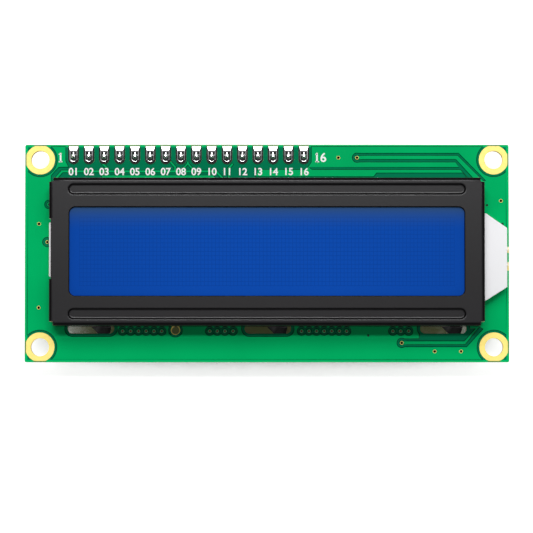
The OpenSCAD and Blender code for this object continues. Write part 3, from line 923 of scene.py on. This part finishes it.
def build_lead_solder():
    """A small dome of solder on each of the backlight's leads."""
    bm = bmesh.new()
    for y in LEAD_Y:
        made = bmesh.ops.create_uvsphere(bm, u_segments=16, v_segments=8, radius=1)["verts"]
        bmesh.ops.scale(bm, verts=made, vec=LEAD_JOINT)
        bmesh.ops.translate(bm, verts=made, vec=(LEAD_X, y, STAND_Z))
        cut = bmesh.ops.bisect_plane(
            bm, geom=made + list({e for v in made for e in v.link_edges})
            + list({p for v in made for p in v.link_faces}),
            plane_co=(0, 0, STAND_Z), plane_no=(0, 0, -1), clear_outer=True)["geom_cut"]
        bmesh.ops.edgeloop_fill(
            bm, edges=[e for e in cut if isinstance(e, bmesh.types.BMEdge)])
    close_and_orient(bm)
    return place_piece(bm, "lead_solder", [finishes().solder],
                       ["backlight_solder_joints"], 60)


# ---- rear ----------------------------------------------------------------

def build_chip_covers():
    """Low domes of potting resin that end in a steep rim."""
    bm = bmesh.new()
    for x, y, r, h in CHIP_COVERS.values():
        ball = (r * r + h * h) / (2 * h)
        profile = []
        for k in range(9):
            a = k / 8
            profile.append((r * a * 0.985, -(h - (ball - math.sqrt(ball ** 2 - (r * a) ** 2)))))
        profile += [(r * 0.998, -SKIN_T), (r * 0.998, 0), (0, 0)]
        spun(bm, profile, (x, y), 48)
    close_and_orient(bm)
    return place_piece(bm, "potted_chips", [finishes().resin],
                       list(CHIP_COVERS), 40)


def build_rear_print():
    """White rings printed round the potted chips."""
    bm = bmesh.new()
    for x, y, r, _ in CHIP_COVERS.values():
        edge = r + 0.75 * MM
        z = -SKIN_T
        profile = [(edge, z), (edge, z - 0.01 * MM), (edge + 0.2 * MM, z - 0.01 * MM),
                   (edge + 0.2 * MM, z), (edge, z)]
        spun(bm, profile, (x, y), 64)
    close_and_orient(bm)
    return place_piece(bm, "rear_print", [finishes().ink])


def dress_solids():
    """Makes the finishes anew and gives one to every solid that is shown as it is."""
    _finishes.clear()
    f = finishes()
    table = {
        "circuit_board": f.laminate, "back_copper_layer": f.mask, "via_rings": f.gold,
        "locating_hole_lining": f.gold, "header_pads": f.gold, "front_polarizer": f.film,
        "front_glass": f.glass, "cell_seal": f.seal, "liquid_crystal_layer": f.crystal,
        "rear_glass": f.glass, "rear_polarizer": f.rear_film, "diffuser_film": f.diffuser,
        "light_guide": f.acrylic, "backlight_led": f.led, "backlight_leads": f.lead,
        "backlight_pads": f.gold, "zebra_strip_upper": f.strip, "zebra_strip_lower": f.strip,
        "elastomer_contact_pads": f.gold, "chip_resistors": f.resistor,
        "chip_capacitors": f.capacitor, "chip_part_terminals": f.tin,
    }
    for name, material in table.items():
        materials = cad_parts[name].data.materials
        materials.clear()
        materials.append(material)


# ---- stage ---------------------------------------------------------------

CAMERA_REACH = 0.556                   # from the lens to the board's front
CAMERA_AIM = (-0.07 * MM, -2.17 * MM, BOARD_T)
VIEW_WIDTH = 88.1 * MM                 # width of the picture at the board's front
TILT = math.radians(2.5)
SENSOR = 36

# Power, size, tilt towards the header, and distance of each light.
LIGHTS = {
    "key_light": (5.9, (0.4, 0.08), math.radians(12.2), 1.25),
    "header_side_softbox": (1.9, (0.5, 0.2), math.radians(25), 0.7),
}
# Heights in the sky and its grey there; the two ends come first.
SKY = ((0.25, 1), (0.9, 0.035), (0.45, 0.36), (0.7, 0.24))
FLOOR_GAP = 0.1 * MM
FLOOR_HALF = 3
SHADE_REACH = 30 * MM
FLOOR_GLOW = 0.8


def area_light(name, power, size, tilt, reach):
    """A soft light aimed at the board, tilted from straight above towards the header."""
    lamp = bpy.data.lights.new(name, "AREA")
    lamp.energy = power
    lamp.shape = "RECTANGLE"
    lamp.size, lamp.size_y = size
    holder = bpy.data.objects.new(name, lamp)
    bpy.context.scene.collection.objects.link(holder)
    way = Vector((0, math.sin(tilt), math.cos(tilt)))
    holder.location = way * reach
    holder.rotation_euler = way.to_track_quat("Z", "Y").to_euler()


def build_world():
    """A pale studio that darkens overhead."""
    world = bpy.data.worlds.new("studio")
    bpy.context.scene.world = world
    world.use_nodes = True
    tree = world.node_tree
    back = tree.nodes["Background"]
    place = tree.nodes.new("ShaderNodeTexCoord")
    parts = tree.nodes.new("ShaderNodeSeparateXYZ")
    ramp = tree.nodes.new("ShaderNodeValToRGB")
    tree.links.new(place.outputs["Generated"], parts.inputs[0])
    tree.links.new(parts.outputs["Z"], ramp.inputs["Fac"])
    tree.links.new(ramp.outputs["Color"], back.inputs["Color"])
    stops = ramp.color_ramp.elements
    for i, (height, grey) in enumerate(SKY):
        stop = stops[i] if i < 2 else stops.new(height)
        stop.position = height
        stop.color = (grey, grey, grey, 1)
    back.inputs["Strength"].default_value = 1.0


def build_floor():
    """A white floor that turns brown and dark where the board shades it."""
    bm = bmesh.new()
    bmesh.ops.create_grid(bm, x_segments=1, y_segments=1, size=FLOOR_HALF)
    level = CAD_BOX[0].z - FLOOR_GAP
    bmesh.ops.translate(bm, verts=bm.verts[:], vec=(0, 0, level))
    mesh = bpy.data.meshes.new("floor")
    bm.to_mesh(mesh)
    bm.free()
    floor = bpy.data.objects.new("floor", mesh)
    bpy.context.scene.collection.objects.link(floor)
    s = Shader("pale_floor")
    shade = s.tree.nodes.new("ShaderNodeAmbientOcclusion")
    shade.samples = 16
    shade.inputs["Distance"].default_value = SHADE_REACH
    # Painted shadow: occlusion ramps turn the floor brown and dark under the board.
    lit = s.spread(shade.outputs["AO"], 0.43, 0.56)
    fade = s.spread(shade.outputs["AO"], 0.42, 0.6, 0.5, 1)
    pale = s.mix(s.noise(4, 2), (0.59, 0.59, 0.59), (0.61, 0.61, 0.61))
    s.set(Base_Color=s.mix(lit, (0.2, 0.18, 0.085), pale),
          Roughness=s.spread(s.noise(60, 2), 0, 1, 0.85, 0.95))
    s.bsdf.inputs["Specular IOR Level"].default_value = 0.1
    # The open floor glows, so that it is white wherever it is seen; the same occlusion ramps cut
    # the glow under the board and so paint its shadow.
    glow = s.tree.nodes.new("ShaderNodeEmission")
    path = s.tree.nodes.new("ShaderNodeLightPath").outputs
    seen = s.math("MAXIMUM", path["Is Camera Ray"], path["Is Glossy Ray"])
    seen = s.math("MAXIMUM", seen, path["Is Transmission Ray"])
    share = s.math("MULTIPLY", seen, s.math("MULTIPLY", lit, fade))
    s.link(s.math("MULTIPLY", share, FLOOR_GLOW), glow.inputs["Strength"])
    both = s.tree.nodes.new("ShaderNodeAddShader")
    s.link(s.bsdf.outputs["BSDF"], both.inputs[0])
    s.link(glow.outputs["Emission"], both.inputs[1])
    s.link(both.outputs[0], s.out.inputs["Surface"])
    mesh.materials.append(s.material)


def build_camera():
    """Looks down on the board, tilted a little from straight above."""
    lens = bpy.data.cameras.new("camera")
    camera = bpy.data.objects.new("camera", lens)
    bpy.context.scene.collection.objects.link(camera)
    bpy.context.scene.camera = camera
    lens.sensor_width = SENSOR
    lens.lens = SENSOR * CAMERA_REACH / VIEW_WIDTH
    lens.clip_start = 0.01
    way = Vector((0, -math.sin(TILT), math.cos(TILT)))
    camera.location = Vector(CAMERA_AIM) + way * CAMERA_REACH
    camera.rotation_euler = (TILT, 0, 0)


# ---- operators -----------------------------------------------------------

class MODULE_OT_solids(bpy.types.Operator):
    """Give a finish to every plain solid."""
    bl_idname = "display_module.solids"
    bl_label = "Dress Solids"
    bl_options = {"REGISTER", "UNDO"}

    def execute(self, context):
        dress_solids()
        return {"FINISHED"}


class MODULE_OT_board(bpy.types.Operator):
    """Make the masked copper, the gold rings and the vias."""
    bl_idname = "display_module.board"
    bl_label = "Board Details"
    bl_options = {"REGISTER", "UNDO"}

    def execute(self, context):
        build_copper(context.scene.module_sizes)
        build_gold_rings()
        build_tie_strips()
        build_vias()
        return {"FINISHED"}


class MODULE_OT_header(bpy.types.Operator):
    """Make the solder joints, the pins and their insulator."""
    bl_idname = "display_module.header"
    bl_label = "Pin Header"
    bl_options = {"REGISTER", "UNDO"}

    def execute(self, context):
        build_solder()
        build_pins()
        build_insulator()
        return {"FINISHED"}


class MODULE_OT_numbers(bpy.types.Operator):
    """Print the pin numbers."""
    bl_idname = "display_module.numbers"
    bl_label = "Printed Numbers"
    bl_options = {"REGISTER", "UNDO"}

    def execute(self, context):
        build_numbers(context.scene.module_sizes)
        return {"FINISHED"}


class MODULE_OT_bezel(bpy.types.Operator):
    """Fold the black bezel from its sheet."""
    bl_idname = "display_module.bezel"
    bl_label = "Folded Bezel"
    bl_options = {"REGISTER", "UNDO"}

    def execute(self, context):
        build_bezel(context.scene.module_sizes)
        return {"FINISHED"}


class MODULE_OT_backlight(bpy.types.Operator):
    """Make the backlight's white body and its joints."""
    bl_idname = "display_module.backlight"
    bl_label = "Backlight"
    bl_options = {"REGISTER", "UNDO"}

    def execute(self, context):
        build_housing()
        build_lead_solder()
        return {"FINISHED"}


class MODULE_OT_rear(bpy.types.Operator):
    """Make the potted chips and the print behind."""
    bl_idname = "display_module.rear"
    bl_label = "Rear Details"
    bl_options = {"REGISTER", "UNDO"}

    def execute(self, context):
        build_chip_covers()
        build_rear_print()
        return {"FINISHED"}


class MODULE_OT_stage(bpy.types.Operator):
    """Set up the floor, the lights and the camera."""
    bl_idname = "display_module.stage"
    bl_label = "Stage"
    bl_options = {"REGISTER", "UNDO"}

    def execute(self, context):
        context.scene.view_settings.view_transform = "Standard"
        build_world()
        for name, settings in LIGHTS.items():
            area_light(name, *settings)
        build_floor()
        build_camera()
        return {"FINISHED"}


OPERATORS = [
    MODULE_OT_solids, MODULE_OT_board, MODULE_OT_header, MODULE_OT_numbers,
    MODULE_OT_bezel, MODULE_OT_backlight, MODULE_OT_rear, MODULE_OT_stage]


class MODULE_PT_panel(bpy.types.Panel):
    """Lists the settings and the steps of the display module."""
    bl_label = "Display Module"
    bl_idname = "MODULE_PT_panel"
    bl_space_type = "VIEW_3D"
    bl_region_type = "UI"
    bl_category = "Display Module"

    def draw(self, context):
        for group in (context.scene.module_sizes, context.scene.module_colours):
            for name in group.__annotations__:
                self.layout.prop(group, name)
        for operator in OPERATORS:
            self.layout.operator(operator.bl_idname)


CLASSES = [DisplayModuleSizes, DisplayModuleColours, *OPERATORS, MODULE_PT_panel]


def register():
    for cls in CLASSES:
        bpy.utils.register_class(cls)
    bpy.types.Scene.module_sizes = bpy.props.PointerProperty(type=DisplayModuleSizes)
    bpy.types.Scene.module_colours = bpy.props.PointerProperty(type=DisplayModuleColours)


def unregister():
    del bpy.types.Scene.module_sizes
    del bpy.types.Scene.module_colours
    for cls in reversed(CLASSES):
        bpy.utils.unregister_class(cls)


def main():
    register()
    for operator in OPERATORS:
        group, name = operator.bl_idname.split(".")
        getattr(getattr(bpy.ops, group), name)()


if __name__ == "__main__":
    main()
